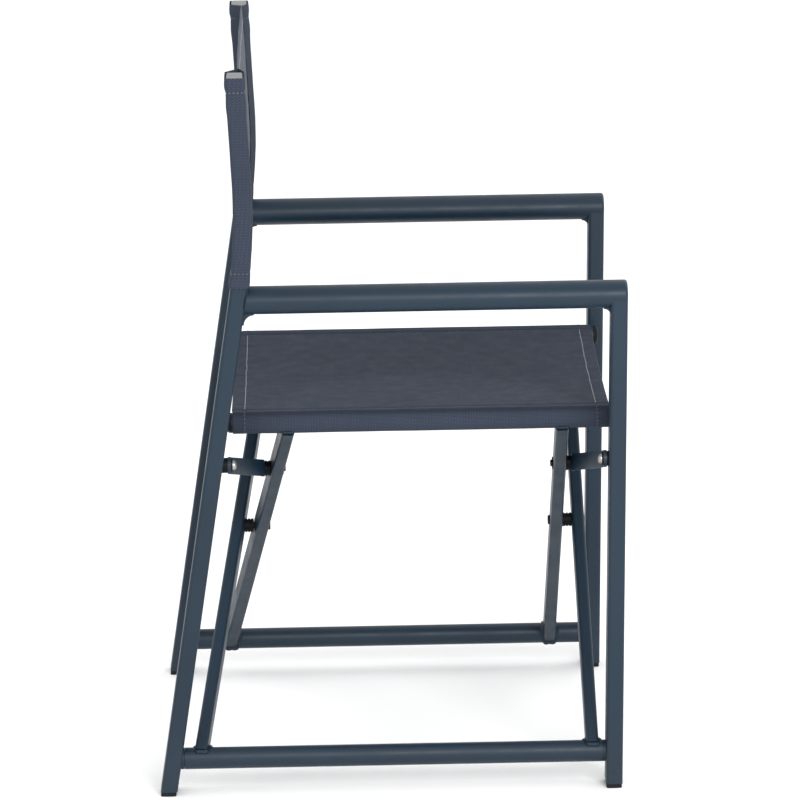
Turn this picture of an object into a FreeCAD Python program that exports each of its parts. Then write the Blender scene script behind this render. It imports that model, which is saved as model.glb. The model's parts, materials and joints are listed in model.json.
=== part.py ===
import FreeCAD, Part
import math
import os

# Folding director chair. Millimetres, +Z up, the sitter faces -Y, and the sitter's right side is -X.
# The origin is on the floor, in the middle of the four feet.
#
# Two rigid side frames stand on the floor. Each holds a bottom rail that turns on pins along Y.
# Cross frame A: right bottom rail, two bars and the left seat rail.
# Cross frame B: left bottom rail, two bars and the right seat rail.
# The two cross frames are bolted together where their bars cross, at the front and at the rear.
# Four short links tie the posts to the bars of the nearer seat rail.
# A seat sling runs between the seat rails and a back sling between the upper posts.

Vec = FreeCAD.Vector
X_AXIS = Vec(1, 0, 0)
Y_AXIS = Vec(0, 1, 0)
Z_AXIS = Vec(0, 0, 1)

# ---- clearances
FIT = 0.05              # radial play of a turning shaft in its hole
SEAT_GAP = 0.3          # gap between parts that slide past each other
FABRIC_GAP = 0.35       # gap between fabric and the tube inside it
PLUG_PLAY = 0.2         # gap between a plug and the tube around it
SLOT_ROOM = 1.5         # gap between a bar and the edge of its slot in the seat sleeve
REACH = 60.0            # a cutting tool runs this far past a part, so that it cuts right through

# ---- side frames
FRAME_X = 265.0         # from the middle of the chair to the plane of a side frame
POST_WIDTH = 38.0       # post size across the chair
POST_DEPTH = 20.0       # post size from front to back
POST_EDGE = 4.0         # rounding of the post's long edges
POST_WALL = 1.8
FRONT_FOOT_Y = -262.0   # middle of the front post at the floor
FRONT_TOP_Y = -272.0    # middle of the front post at the height of the armrest
BACK_FOOT_Y = 272.0     # middle of the back post at the floor
LEG_LEAN = math.atan(0.157)     # lower part of the back post leans forward
BACK_LEAN = math.atan(0.045)    # upper part of the back post leans back
BEND_START_Z = 607.0
BEND_RADIUS = 670.0
POST_TOP_Z = 867.0
FOOT_HEIGHT = 5.0       # plastic foot that shows under the metal
FOOT_PLUG = 20.0        # part of the foot inside the tube
FOOT_INSET = 0.8        # the foot's side stands back from the tube's side
CAP_HEIGHT = 3.5
CAP_PLUG = 15.0         # part of the cap inside the tube
CAP_INSET = 0.3
CAP_RIM = 1.0           # sloped rim around the top of the cap

ARM_Z = 602.0
ARM_WIDTH = 40.0
ARM_HEIGHT = 33.0
ARM_WALL = 2.0
ARM_END_ROUND = 3.5     # rounding of the armrest's closed front end
WELD_WIDTH = 17.0       # weld fillets under the two ends of the armrest
FRONT_WELD = 8.0
BACK_WELD = 12.0
WELD_ROOT = 6.0         # the weld block starts this far inside the post

# ---- rails
BOTTOM_RAIL_Z = 42.0
BOTTOM_RAIL_R = 13.0
RAIL_WALL = 1.8
RAIL_END_GAP = 3.4      # between the end of a bottom rail and its post, mostly filled by a collar
COLLAR_HEIGHT = 3.0     # collar on the rail pin, cut to the slant of the post
BUSH_SUNK = 0.5         # the bush starts this far inside the end of the rail
RAIL_PIN_R = 5.0
RAIL_PIN_IN = 6.0       # length of the pin inside the post
RAIL_PIN_OUT = 24.0     # length of the pin outside the post
PRESS_PLAY = 0.1        # radial gap between a pressed-in stem and the tube around it
BUSH_LENGTH = 24.0
SEAT_RAIL_Z = 444.0
SEAT_RAIL_IN = 42.7     # seat rail axis inside the plane of the side frame
SEAT_RAIL_R = 12.0
SEAT_RAIL_FRONT_Y = -265.0
SEAT_RAIL_BACK_Y = 187.5
PLUG_HEAD = 6.0
PLUG_STEM = 14.0

# ---- cross bars, one rear pair and one front pair
BAR_WIDTH = 28.0        # across the bar, square to the rails
BAR_DEPTH = 15.0        # along the rails
BAR_EDGE = 3.0
BAR_WALL = 1.6
BAR_LOW_CUT = 4.0       # the bar stops this far from the bottom rail's axis
BAR_HIGH_CUT = 9.0      # and this far from the seat rail's axis
BAR_SOLID_END = 30.0    # the bar's cavity stops this far from each rail axis
BAR_A_REAR_Y = (232.8, 145.7)       # at the bottom rail, at the seat rail
BAR_B_REAR_Y = (203.2, 119.7)
BAR_A_FRONT_Y = (-236.8, -231.2)
BAR_B_FRONT_Y = (-207.9, -205.9)

# ---- centre pivots
PIVOT_R = 4.0
PIVOT_SPACER_R = 8.5
PIVOT_SPACER_RIBS = 5
GROOVE_SHARE = 0.18     # half width of a spacer's groove, as a share of the pitch
GROOVE_DEPTH = 0.9
PIVOT_HEAD_R = 5.5
PIVOT_HEAD_HEIGHT = 1.0
HEAD_SUNK = 2.0         # lets a flat head meet the slanted side of a bar all round
PIVOT_NUT_R = 6.0
PIVOT_NUT_HEIGHT = 2.6
TILT_ROOM = 1.5         # lets a flat end turn on the slanted side of a rear bar

# ---- links
LINK_POST_Z = 402.6     # height of the link's pivot on the post
LINK_BAR_AT = 0.80      # link's pivot on the bar, as a share of the bar's length from its bottom rail
LINK_WIDTH = 20.0
LINK_THICK = 4.0
LINK_FLAT = 17.0        # flat part at each end, measured from the pivot
LINK_SCREW_R = 3.0
REAR_WASHER = 6.0
FRONT_WASHER = 2.5
WASHER_R = 9.0
LINK_GAP = 0.15         # play on each flat side of a strap
LINK_BOLT_HEAD_R = 5.8
LINK_BOLT_HEAD = 4.5
HEAD_WASHER_R = 8.0
HEAD_WASHER = 1.5
LINK_BOLT_IN = 10.0     # length of the link's bolt inside the post
BOLT_HOLE_IN = 11.0     # depth of its hole, measured from the post's face
LINK_SPACER_R = 9.3
LINK_SPACER = 6.5
LINK_SPACER_RIBS = 4
LINK_SCREW_HEAD = 2.5
LINK_SCREW_HEAD_R = 6.5
LINK_NUT_R = 4.2
LINK_NUT_HEIGHT = 2.4
LINK_NUT_WASHER = 1.5
LINK_NUT_WASHER_R = 7.5

# ---- slings
FABRIC = 1.2
SEAT_FRONT_Y = -262.0
SEAT_BACK_Y = 187.0
SEAT_SAG = 7.0
BACK_LOW_Z = 620.5
BACK_HIGH_Z = 865.5

SIDES = {"right": -1, "left": 1}


# ---------------------------------------------------------------- basic solids

def cylinder_y(x, z, radius, y_from, y_to):
    """Round bar along Y between two Y values."""
    low = min(y_from, y_to)
    return Part.makeCylinder(radius, abs(y_to - y_from), Vec(x, low, z), Y_AXIS)


def dome_y(x, z, radius, height, y_base, direction):
    """Domed screw head: a disc with a rounded rim, growing along Y from y_base."""
    head = cylinder_y(x, z, radius, y_base, y_base + direction * height)
    tip = y_base + direction * height
    rim = [e for e in head.Edges if abs(e.CenterOfMass.y - tip) < 0.01 and e.Length > radius * 4]
    return head.makeFillet(height * 0.7, rim)


def side_prism(points, x_middle, width):
    """Prism across the chair whose outline is a list of (y, z) points."""
    x_low = x_middle - width / 2
    corners = [Vec(x_low, y, z) for y, z in points]
    face = Part.Face(Part.makePolygon(corners + corners[:1]))
    return face.extrude(Vec(width, 0, 0))


def slab(z_low, z_high):
    """Everything between two heights."""
    return Part.makeBox(2000, 2000, z_high - z_low, Vec(-1000, -1000, z_low))


def round_long_edges(prism, x_middle, width, radius):
    """Round the edges of a side prism that run up along the post."""
    long_edges = []
    for edge in prism.Edges:
        on_side = abs(abs(edge.CenterOfMass.x - x_middle) - width / 2) < 0.01
        if on_side and edge.BoundBox.ZLength > POST_DEPTH:
            long_edges.append(edge)
    return prism.makeFillet(radius, long_edges)


def hole_y(x, z, radius, y):
    """Cutting tool for a round hole along Y, with play for the shaft, well past both sides of y."""
    return cylinder_y(x, z, radius + FIT, y - REACH, y + REACH)


# ---------------------------------------------------------------- back post

def leg_middle_y(z):
    """Y of the back post's middle line on its straight lower part."""
    return BACK_FOOT_Y - z * math.tan(LEG_LEAN)


def back_post_outline(half_depth):
    """Closed (y, z) outline of the bent post: straight leg, wide bend, straight upper part."""
    low_z = -REACH
    leg_side = Vec(0, math.cos(LEG_LEAN), math.sin(LEG_LEAN))
    top_side = Vec(0, math.cos(BACK_LEAN), -math.sin(BACK_LEAN))
    top_way = Vec(0, math.sin(BACK_LEAN), math.cos(BACK_LEAN))
    foot = Vec(0, leg_middle_y(low_z), low_z)
    bend_low = Vec(0, leg_middle_y(BEND_START_Z), BEND_START_Z)
    centre = bend_low + leg_side * BEND_RADIUS
    bend_high = centre - top_side * BEND_RADIUS
    top = bend_high + top_way * (POST_TOP_Z + REACH - bend_high.z)
    middle_angle = (LEG_LEAN - BACK_LEAN) / 2
    middle_side = Vec(0, math.cos(middle_angle), math.sin(middle_angle))

    def arc(offset):
        return Part.Arc(bend_low + leg_side * offset,
                        centre - middle_side * (BEND_RADIUS - offset),
                        bend_high + top_side * offset).toShape()

    rear, front = half_depth, -half_depth
    return Part.Wire([
        Part.makeLine(foot + leg_side * rear, bend_low + leg_side * rear),
        arc(rear),
        Part.makeLine(bend_high + top_side * rear, top + top_side * rear),
        Part.makeLine(top + top_side * rear, top + top_side * front),
        Part.makeLine(top + top_side * front, bend_high + top_side * front),
        arc(front),
        Part.makeLine(bend_low + leg_side * front, foot + leg_side * front),
        Part.makeLine(foot + leg_side * front, foot + leg_side * rear),
    ])


def back_post_prism(x_middle, width, depth, edge_radius, z_low, z_high):
    """Solid that follows the back post, cut level at two heights."""
    face = Part.Face(back_post_outline(depth / 2))
    face.translate(Vec(x_middle - width / 2, 0, 0))
    prism = face.extrude(Vec(width, 0, 0))
    if edge_radius > 0:
        prism = round_long_edges(prism, x_middle, width, edge_radius)
    return prism.common(slab(z_low, z_high))


def back_post(x):
    outside = back_post_prism(x, POST_WIDTH, POST_DEPTH, POST_EDGE, FOOT_HEIGHT, POST_TOP_Z)
    inside = back_post_prism(x, POST_WIDTH - 2 * POST_WALL, POST_DEPTH - 2 * POST_WALL,
                             POST_EDGE - POST_WALL, 0, POST_TOP_Z + CAP_HEIGHT)
    tube = outside.cut(inside)
    tube = tube.cut(rail_pin(x, "back", FIT))
    return tube.cut(link_bolt_hole(x, "back"))


# ---------------------------------------------------------------- front post and armrest

def front_middle_y(z):
    """Y of the front post's middle line, which leans forward a little."""
    return FRONT_FOOT_Y + (FRONT_TOP_Y - FRONT_FOOT_Y) * z / ARM_Z


def front_post_prism(x_middle, width, depth, edge_radius, z_low, z_high):
    """Solid that follows the front post, cut level at two heights."""
    low, high = -REACH, ARM_Z + REACH
    half = depth / 2
    outline = [(front_middle_y(low) - half, low), (front_middle_y(low) + half, low),
               (front_middle_y(high) + half, high), (front_middle_y(high) - half, high)]
    prism = side_prism(outline, x_middle, width)
    if edge_radius > 0:
        prism = round_long_edges(prism, x_middle, width, edge_radius)
    return prism.common(slab(z_low, z_high))


def armrest_front_y():
    """Y of the armrest's front end, level with the front of the post."""
    return front_middle_y(ARM_Z) - POST_DEPTH / 2


def armrest_bar(x):
    """Outside of the armrest: a straight oval bar with a rounded front end."""
    bar = oval_y(x, ARM_WIDTH, ARM_HEIGHT, armrest_front_y(), leg_middle_y(ARM_Z))
    rim = [e for e in bar.Edges if abs(e.CenterOfMass.y - armrest_front_y()) < 0.01]
    return bar.makeFillet(ARM_END_ROUND, rim[:1])


def front_post_outside(x):
    """Outside of the front post, whose top is hollowed to fit under the armrest."""
    post = front_post_prism(x, POST_WIDTH, POST_DEPTH, POST_EDGE, FOOT_HEIGHT, ARM_Z)
    return largest(post.cut(armrest_bar(x)))


def front_post(x):
    inside = front_post_prism(x, POST_WIDTH - 2 * POST_WALL, POST_DEPTH - 2 * POST_WALL,
                              POST_EDGE - POST_WALL, 0, ARM_Z - ARM_HEIGHT)
    tube = front_post_outside(x).cut(inside)
    tube = tube.cut(rail_pin(x, "front", FIT))
    return tube.cut(link_bolt_hole(x, "front"))


def oval_y(x, width, height, y_from, y_to):
    """Oval bar along Y at the height of the armrest."""
    oval = Part.Ellipse(Vec(x + width / 2, y_from, ARM_Z), Vec(x, y_from, ARM_Z + height / 2),
                        Vec(x, y_from, ARM_Z))
    face = Part.Face(Part.Wire([oval.toShape()]))
    return face.extrude(Vec(0, y_to - y_from, 0))


def weld_fillet(x, y_face, radius, direction):
    """Hollow-faced weld in the corner under the armrest, growing along Y from a post's face."""
    under = ARM_Z - ARM_HEIGHT / 2
    y_far = y_face + direction * radius
    y_root = y_face - direction * WELD_ROOT
    block = Part.makeBox(WELD_WIDTH, abs(y_far - y_root), radius + ARM_HEIGHT / 3,
                         Vec(x - WELD_WIDTH / 2, min(y_far, y_root), under - radius))
    groove = Part.makeCylinder(radius, 2 * WELD_WIDTH, Vec(x - WELD_WIDTH, y_far, under - radius), X_AXIS)
    return block.cut(groove)


def armrest(x):
    """Oval tube with a closed front end and a weld fillet in the corner at each post."""
    under = ARM_Z - ARM_HEIGHT / 2
    front_face = front_middle_y(under) + POST_DEPTH / 2
    back_face = leg_middle_y(under) - POST_DEPTH / 2 / math.cos(LEG_LEAN)
    inside = oval_y(x, ARM_WIDTH - 2 * ARM_WALL, ARM_HEIGHT - 2 * ARM_WALL,
                    armrest_front_y() + 2 * ARM_WALL, leg_middle_y(ARM_Z))
    bar = armrest_bar(x)
    bar = bar.fuse(weld_fillet(x, front_face, FRONT_WELD, 1).cut(front_post_outside(x)))
    bar = bar.fuse(weld_fillet(x, back_face, BACK_WELD, -1))
    back_block = back_post_prism(x, 2 * POST_WIDTH, POST_DEPTH, 0, 0, POST_TOP_Z)
    return largest(bar.cut(inside).cut(back_block).removeSplitter())


# ---------------------------------------------------------------- feet and caps

def foot(prism_of, x):
    """Plastic foot: a pad under the tube and a plug inside it."""
    pad = prism_of(x, POST_WIDTH - 2 * FOOT_INSET, POST_DEPTH - 2 * FOOT_INSET,
                   POST_EDGE - FOOT_INSET, 0, FOOT_HEIGHT)
    return pad.fuse(tube_plug(prism_of, x, FOOT_HEIGHT, FOOT_HEIGHT + FOOT_PLUG)).removeSplitter()


def tube_plug(prism_of, x, z_low, z_high):
    """Block that fills the inside of a post between two heights."""
    room = POST_WALL + PLUG_PLAY
    return prism_of(x, POST_WIDTH - 2 * room, POST_DEPTH - 2 * room, POST_EDGE - room, z_low, z_high)


def post_cap(x):
    """Cap on the top of the back post, with a soft upper rim."""
    top = POST_TOP_Z + CAP_HEIGHT
    lid = back_post_prism(x, POST_WIDTH - 2 * CAP_INSET, POST_DEPTH - 2 * CAP_INSET, POST_EDGE,
                          POST_TOP_Z, top)
    rim = [e for e in lid.Edges if abs(e.CenterOfMass.z - top) < 0.01]
    lid = lid.makeChamfer(CAP_RIM, rim)
    plug = tube_plug(back_post_prism, x, POST_TOP_Z - CAP_PLUG, POST_TOP_Z)
    return lid.fuse(plug).removeSplitter()


# ---------------------------------------------------------------- bottom rails

def post_face_y(end, z):
    """Y of the inner face of the front or back post at a height, and the way out from it."""
    if end == "front":
        return front_middle_y(z) + POST_DEPTH / 2, 1
    return leg_middle_y(z) - POST_DEPTH / 2 / math.cos(LEG_LEAN), -1


def rail_end_y(end):
    face, way = post_face_y(end, BOTTOM_RAIL_Z)
    return face + way * RAIL_END_GAP


def rail_pin(x, end, extra=0.0):
    """Pin welded in a post, on which one end of the bottom rail turns."""
    face, way = post_face_y(end, BOTTOM_RAIL_Z)
    return cylinder_y(x, BOTTOM_RAIL_Z, RAIL_PIN_R + extra,
                      face - way * RAIL_PIN_IN, face + way * RAIL_PIN_OUT)


def collared_pin(x, end):
    """Rail pin with a collar as wide as the rail, cut to the slant of the post."""
    face, way = post_face_y(end, BOTTOM_RAIL_Z)
    collar = cylinder_y(x, BOTTOM_RAIL_Z, BOTTOM_RAIL_R, face - way * RAIL_PIN_IN,
                        face + way * COLLAR_HEIGHT)
    return largest(collar.cut(post_block(x, end))).fuse(rail_pin(x, end)).removeSplitter()


def rail_bush(x, end):
    """Plastic bush in the end of a bottom rail."""
    way = post_face_y(end, BOTTOM_RAIL_Z)[1]
    start = rail_end_y(end) + way * BUSH_SUNK
    sleeve = cylinder_y(x, BOTTOM_RAIL_Z, BOTTOM_RAIL_R - RAIL_WALL - PRESS_PLAY,
                        start, start + way * BUSH_LENGTH)
    return sleeve.cut(rail_pin(x, end, FIT))


def bottom_rail(x):
    front, back = rail_end_y("front"), rail_end_y("back")
    outside = cylinder_y(x, BOTTOM_RAIL_Z, BOTTOM_RAIL_R, front, back)
    return outside.cut(cylinder_y(x, BOTTOM_RAIL_Z, BOTTOM_RAIL_R - RAIL_WALL, front, back))


# ---------------------------------------------------------------- seat rails

def seat_rail(x):
    outside = cylinder_y(x, SEAT_RAIL_Z, SEAT_RAIL_R, SEAT_RAIL_FRONT_Y, SEAT_RAIL_BACK_Y)
    inside = cylinder_y(x, SEAT_RAIL_Z, SEAT_RAIL_R - RAIL_WALL, SEAT_RAIL_FRONT_Y, SEAT_RAIL_BACK_Y)
    return outside.cut(inside)


def seat_rail_plug(x, edge, way):
    """Plastic end plug: a domed head outside and a stem inside the rail."""
    head = dome_y(x, SEAT_RAIL_Z, SEAT_RAIL_R, PLUG_HEAD, edge, way)
    stem = cylinder_y(x, SEAT_RAIL_Z, SEAT_RAIL_R - RAIL_WALL - PRESS_PLAY, edge - way * PLUG_STEM, edge)
    return head.fuse(stem)


# ---------------------------------------------------------------- cross bars

class Bar:
    """One straight bar of a cross frame, from a bottom rail up to the seat rail on the other side."""

    def __init__(self, side, y_low, y_high):
        sign = SIDES[side]
        self.low = Vec(sign * FRAME_X, y_low, BOTTOM_RAIL_Z)
        self.high = Vec(-sign * (FRAME_X - SEAT_RAIL_IN), y_high, SEAT_RAIL_Z)
        self.length = (self.high - self.low).Length
        self.way = (self.high - self.low) / self.length
        self.across = Y_AXIS.cross(self.way).normalize()
        self.side = self.way.cross(self.across)

    def at(self, share):
        """Point on the bar's middle line, as a share of the way up."""
        return self.low + (self.high - self.low) * share

    def prism(self, width, depth, edge, start, end):
        box = Part.makeBox(width, depth, end - start, Vec(-width / 2, -depth / 2, start))
        if edge > 0:
            upright = [e for e in box.Edges if abs(e.tangentAt(e.FirstParameter).z) > 0.9]
            box = box.makeFillet(edge, upright)
        a, s, w, o = self.across, self.side, self.way, self.low
        box.Placement = FreeCAD.Placement(FreeCAD.Matrix(a.x, s.x, w.x, o.x,
                                                         a.y, s.y, w.y, o.y,
                                                         a.z, s.z, w.z, o.z,
                                                         0, 0, 0, 1))
        return box

    def outside(self):
        bar = self.prism(BAR_WIDTH, BAR_DEPTH, BAR_EDGE, BAR_LOW_CUT, self.length - BAR_HIGH_CUT)
        for point, radius in ((self.low, BOTTOM_RAIL_R), (self.high, SEAT_RAIL_R)):
            rail = cylinder_y(point.x, point.z, radius, point.y - REACH, point.y + REACH)
            bar = bar.cut(rail)
        return bar

    def half_depth_y(self):
        """Half of the bar's size along Y."""
        return BAR_DEPTH / 2 / abs(self.side.y)

    def sleeve_slot(self):
        """Room for the bar's upper end, cut out of the sleeve round the seat rail."""
        start = self.length - REACH
        end = self.length - BAR_HIGH_CUT + SLOT_ROOM
        return self.prism(BAR_WIDTH + 2 * SLOT_ROOM, BAR_DEPTH + 2 * SLOT_ROOM, 0, start, end)


REAR_A = Bar("right", *BAR_A_REAR_Y)
REAR_B = Bar("left", *BAR_B_REAR_Y)
FRONT_A = Bar("right", *BAR_A_FRONT_Y)
FRONT_B = Bar("left", *BAR_B_FRONT_Y)

CROSS_SHARE = FRAME_X / (2 * FRAME_X - SEAT_RAIL_IN)
CROSS_Z = BOTTOM_RAIL_Z + (SEAT_RAIL_Z - BOTTOM_RAIL_Z) * CROSS_SHARE


def cross_bar(bar):
    """Hollow bar with holes for the centre pivot and for the link's stud."""
    walls = 2 * BAR_WALL
    cavity = bar.prism(BAR_WIDTH - walls, BAR_DEPTH - walls, 0, BAR_SOLID_END, bar.length - BAR_SOLID_END)
    tube = bar.outside().cut(cavity)
    tube = tube.cut(hole_y(0, CROSS_Z, PIVOT_R, bar.at(CROSS_SHARE).y))
    point = bar.at(LINK_BAR_AT)
    return tube.cut(hole_y(point.x, point.z, LINK_SCREW_R, point.y))


# ---------------------------------------------------------------- centre pivots

def ribbed_spacer(x, z, radius, y_from, y_to, ribs):
    """Black spacer tube with shallow grooves around it."""
    body = cylinder_y(x, z, radius, y_from, y_to)
    pitch = (y_to - y_from) / ribs
    half_groove = abs(pitch) * GROOVE_SHARE
    for step in range(1, ribs):
        middle = y_from + pitch * step
        ring = cylinder_y(x, z, 2 * radius, middle - half_groove, middle + half_groove)
        core = cylinder_y(x, z, radius - GROOVE_DEPTH, middle - half_groove, middle + half_groove)
        body = body.cut(ring.cut(core))
    return body


def centre_pivot(bar_a, bar_b, outward):
    """Spacer, bolt and nut of one crossing. Outward is the way along Y from bar B to bar A."""
    y_a = bar_a.at(CROSS_SHARE).y
    y_b = bar_b.at(CROSS_SHARE).y
    outer_a = y_a + outward * bar_a.half_depth_y()
    slant = TILT_ROOM if outward > 0 else SEAT_GAP
    room_b = bar_b.half_depth_y() + slant
    spacer = ribbed_spacer(0, CROSS_Z, PIVOT_SPACER_R, y_b + outward * room_b, y_a, PIVOT_SPACER_RIBS)
    spacer = spacer.cut(hole_y(0, CROSS_Z, PIVOT_R, y_a)).cut(bar_a.outside())
    head = dome_y(0, CROSS_Z, PIVOT_HEAD_R, PIVOT_HEAD_HEIGHT + HEAD_SUNK,
                  outer_a - outward * HEAD_SUNK, outward)
    bore = cylinder_y(0, CROSS_Z, PIVOT_R + FIT, outer_a - outward * REACH, outer_a)
    head = head.cut(bar_a.outside()).cut(bore)
    nut_near = y_b - outward * room_b
    nut = dome_y(0, CROSS_Z, PIVOT_NUT_R, PIVOT_NUT_HEIGHT, nut_near, -outward)
    shank = cylinder_y(0, CROSS_Z, PIVOT_R, nut_near - outward * PIVOT_NUT_HEIGHT / 2, outer_a)
    bolt = head.fuse(shank).removeSplitter()
    return largest(spacer), bolt, nut.cut(fitted(shank))


def fitted(shank):
    """Cutting tool for the blind hole that a shank sits in."""
    return shank.makeOffsetShape(FIT, FIT / 10)


def largest(shape):
    """The biggest solid of a shape, which drops loose slivers of a cut."""
    return max(shape.Solids, key=lambda solid: solid.Volume)


# ---------------------------------------------------------------- links

class Link:
    """Positions of one link between a post and a bar."""

    def __init__(self, side, end):
        self.sign = SIDES[side]
        self.x_post = self.sign * FRAME_X
        self.end = end
        self.face, self.way = post_face_y(end, LINK_POST_Z)
        if side == "right":
            self.bar = REAR_B if end == "back" else FRONT_B
        else:
            self.bar = REAR_A if end == "back" else FRONT_A
        self.point = self.bar.at(LINK_BAR_AT)
        self.bar_face = self.point.y - self.way * self.bar.half_depth_y()
        self.post_side = self.face + self.way * (REAR_WASHER if end == "back" else FRONT_WASHER)
        self.bar_side = self.bar_face - self.way * LINK_SPACER

    def strap(self):
        """Flat strap with a stepped bend: one end lies on the washer, the other by the spacer."""
        run_x = self.point.x - self.x_post
        run_z = self.point.z - LINK_POST_Z
        length = math.hypot(run_x, run_z)
        near = self.post_side
        far = self.bar_side - self.way * (LINK_GAP + LINK_THICK)
        thick = self.way * LINK_THICK
        outline = [(-LINK_WIDTH / 2, near), (LINK_FLAT, near), (length - LINK_FLAT, far),
                   (length + LINK_WIDTH / 2, far), (length + LINK_WIDTH / 2, far + thick),
                   (length - LINK_FLAT, far + thick), (LINK_FLAT, near + thick),
                   (-LINK_WIDTH / 2, near + thick)]
        corners = [Vec(along, y, -LINK_WIDTH / 2) for along, y in outline]
        body = Part.Face(Part.makePolygon(corners + corners[:1])).extrude(Vec(0, 0, LINK_WIDTH))
        low, high = min(near, far) - REACH, max(near, far) + REACH
        plan = Part.makeBox(length, high - low, LINK_WIDTH, Vec(0, low, -LINK_WIDTH / 2))
        for along in (0, length):
            plan = plan.fuse(cylinder_y(along, 0, LINK_WIDTH / 2, low, high))
        body = body.common(plan).removeSplitter()
        body = body.cut(cylinder_y(0, 0, LINK_SCREW_R + FIT, low, high))
        body = body.cut(cylinder_y(length, 0, LINK_SCREW_R, low, high))
        turn = math.degrees(math.atan2(run_z, run_x))
        body.rotate(Vec(0, 0, 0), Y_AXIS, -turn)
        body.translate(Vec(self.x_post, 0, LINK_POST_Z))
        return body

    def screw(self):
        """Screw head and short shank in the strap's bar end."""
        far = self.bar_side - self.way * LINK_GAP
        outer = far - self.way * LINK_THICK
        shank = cylinder_y(self.point.x, self.point.z, LINK_SCREW_R, far, outer)
        head = dome_y(self.point.x, self.point.z, LINK_SCREW_HEAD_R, LINK_SCREW_HEAD, outer, -self.way)
        return head.fuse(shank).removeSplitter()

    def stud_hole(self):
        return hole_y(self.point.x, self.point.z, LINK_SCREW_R, self.point.y)

    def nut_seat_y(self):
        """Where the nut starts, past the bar and the washer under the nut."""
        return self.bar_face + self.way * (2 * self.bar.half_depth_y() + LINK_NUT_WASHER)

    def spacer(self):
        """Black spacer on the bar, cut to the bar's slanted side."""
        body = ribbed_spacer(self.point.x, self.point.z, LINK_SPACER_R, self.bar_side, self.point.y,
                             LINK_SPACER_RIBS)
        return largest(body.cut(self.stud_hole()).cut(self.bar.outside()))

    def stud(self):
        far = self.nut_seat_y() + self.way * LINK_NUT_HEIGHT / 2
        return cylinder_y(self.point.x, self.point.z, LINK_SCREW_R, self.bar_side, far)

    def nut_washer(self):
        """Black washer on the far side of the bar, cut to the bar's slant."""
        disc = cylinder_y(self.point.x, self.point.z, LINK_NUT_WASHER_R, self.point.y, self.nut_seat_y())
        return largest(disc.cut(self.bar.outside()).cut(self.stud_hole()))

    def nut(self):
        """Low domed nut that closes the end of the stud."""
        dome = dome_y(self.point.x, self.point.z, LINK_NUT_R, LINK_NUT_HEIGHT, self.nut_seat_y(), self.way)
        return dome.cut(fitted(self.stud()))

    def washer_disc(self):
        """Washer cut to the slant of the post on one side, and flat on the link's side."""
        disc = cylinder_y(self.x_post, LINK_POST_Z, WASHER_R, self.face - self.way * WASHER_R, self.post_side)
        disc = disc.cut(hole_y(self.x_post, LINK_POST_Z, LINK_SCREW_R, self.face))
        return largest(disc.cut(post_block(self.x_post, self.end)))

    def head_washer(self):
        """Black washer between the strap and the head of its bolt."""
        base = self.post_side + self.way * (LINK_THICK + LINK_GAP)
        disc = cylinder_y(self.x_post, LINK_POST_Z, HEAD_WASHER_R, base, base + self.way * HEAD_WASHER)
        return disc.cut(hole_y(self.x_post, LINK_POST_Z, LINK_SCREW_R, base))

    def bolt(self):
        """Domed bolt that holds the strap on the post."""
        base = self.post_side + self.way * (LINK_THICK + LINK_GAP + HEAD_WASHER)
        head = dome_y(self.x_post, LINK_POST_Z, LINK_BOLT_HEAD_R, LINK_BOLT_HEAD, base, self.way)
        shank = cylinder_y(self.x_post, LINK_POST_Z, LINK_SCREW_R,
                           self.face - self.way * LINK_BOLT_IN, base)
        return head.fuse(shank).removeSplitter()


def post_block(x, end):
    """Outside of a post, used to cut parts that lie against it."""
    if end == "front":
        return front_post_prism(x, POST_WIDTH, POST_DEPTH, 0, 0, ARM_Z - ARM_HEIGHT)
    return back_post_prism(x, POST_WIDTH, POST_DEPTH, 0, 0, POST_TOP_Z)


def link_bolt_hole(x, end):
    face, way = post_face_y(end, LINK_POST_Z)
    return cylinder_y(x, LINK_POST_Z, LINK_SCREW_R + FIT, face - way * BOLT_HOLE_IN, face + way * REACH)


# ---------------------------------------------------------------- slings

def seat_sling():
    """Seat cloth: a sleeve around each seat rail, slotted for the bars, and a slightly hanging panel."""
    rail_x = FRAME_X - SEAT_RAIL_IN
    inner = SEAT_RAIL_R + FABRIC_GAP
    outer = inner + FABRIC
    length = SEAT_BACK_Y - SEAT_FRONT_Y
    top = SEAT_RAIL_Z + outer
    under = SEAT_RAIL_Z + inner

    def curve(z_edge):
        return Part.Arc(Vec(-rail_x, SEAT_FRONT_Y, z_edge), Vec(0, SEAT_FRONT_Y, z_edge - SEAT_SAG),
                        Vec(rail_x, SEAT_FRONT_Y, z_edge)).toShape()

    outline = Part.Wire([
        curve(top),
        Part.makeLine(Vec(rail_x, SEAT_FRONT_Y, top), Vec(rail_x, SEAT_FRONT_Y, under)),
        curve(under),
        Part.makeLine(Vec(-rail_x, SEAT_FRONT_Y, under), Vec(-rail_x, SEAT_FRONT_Y, top)),
    ])
    cloth = Part.Face(outline).extrude(Vec(0, length, 0))
    for sign in (-1, 1):
        cloth = cloth.fuse(cylinder_y(sign * rail_x, SEAT_RAIL_Z, outer, SEAT_FRONT_Y, SEAT_BACK_Y))
    for sign in (-1, 1):
        cloth = cloth.cut(cylinder_y(sign * rail_x, SEAT_RAIL_Z, inner, SEAT_FRONT_Y - 1, SEAT_BACK_Y + 1))
    for bar in (REAR_A, REAR_B, FRONT_A, FRONT_B):
        cloth = cloth.cut(bar.sleeve_slot())
    return cloth.removeSplitter()


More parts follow.
